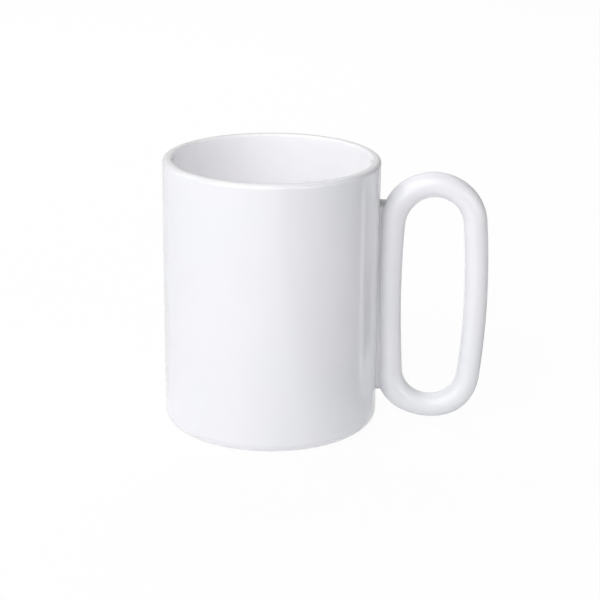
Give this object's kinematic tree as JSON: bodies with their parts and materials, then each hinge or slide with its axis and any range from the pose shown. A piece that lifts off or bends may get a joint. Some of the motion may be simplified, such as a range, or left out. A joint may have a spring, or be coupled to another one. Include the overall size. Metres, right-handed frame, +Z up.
{
  "type": "shaving mug",
  "caption": "Straight cylindrical glazed ceramic shaving mug with a rounded lip and a tall closed loop handle of round rod stuck to its side; holds lather or a shaving brush.",
  "frame": {"origin": "centre of the foot ring, on the cup's axis, in the plane that the mug stands on", "axes": "+Z up along the cup's axis, +X from the axis out through the handle"},
  "size_m": [0.1208, 0.08, 0.101],
  "materials": {
    "cup_glaze": "clear gloss glaze over white clay, bare clay on the foot ring",
    "handle_glaze": "clear gloss glaze over white clay",
    "joint_glaze": "gloss glaze pooled over the slip seam"
  },
  "bodies": {
    "root": {"cup": "cup_glaze", "loop_handle": "handle_glaze", "joint_slip": "joint_glaze"}
  },
  "joints": []
}
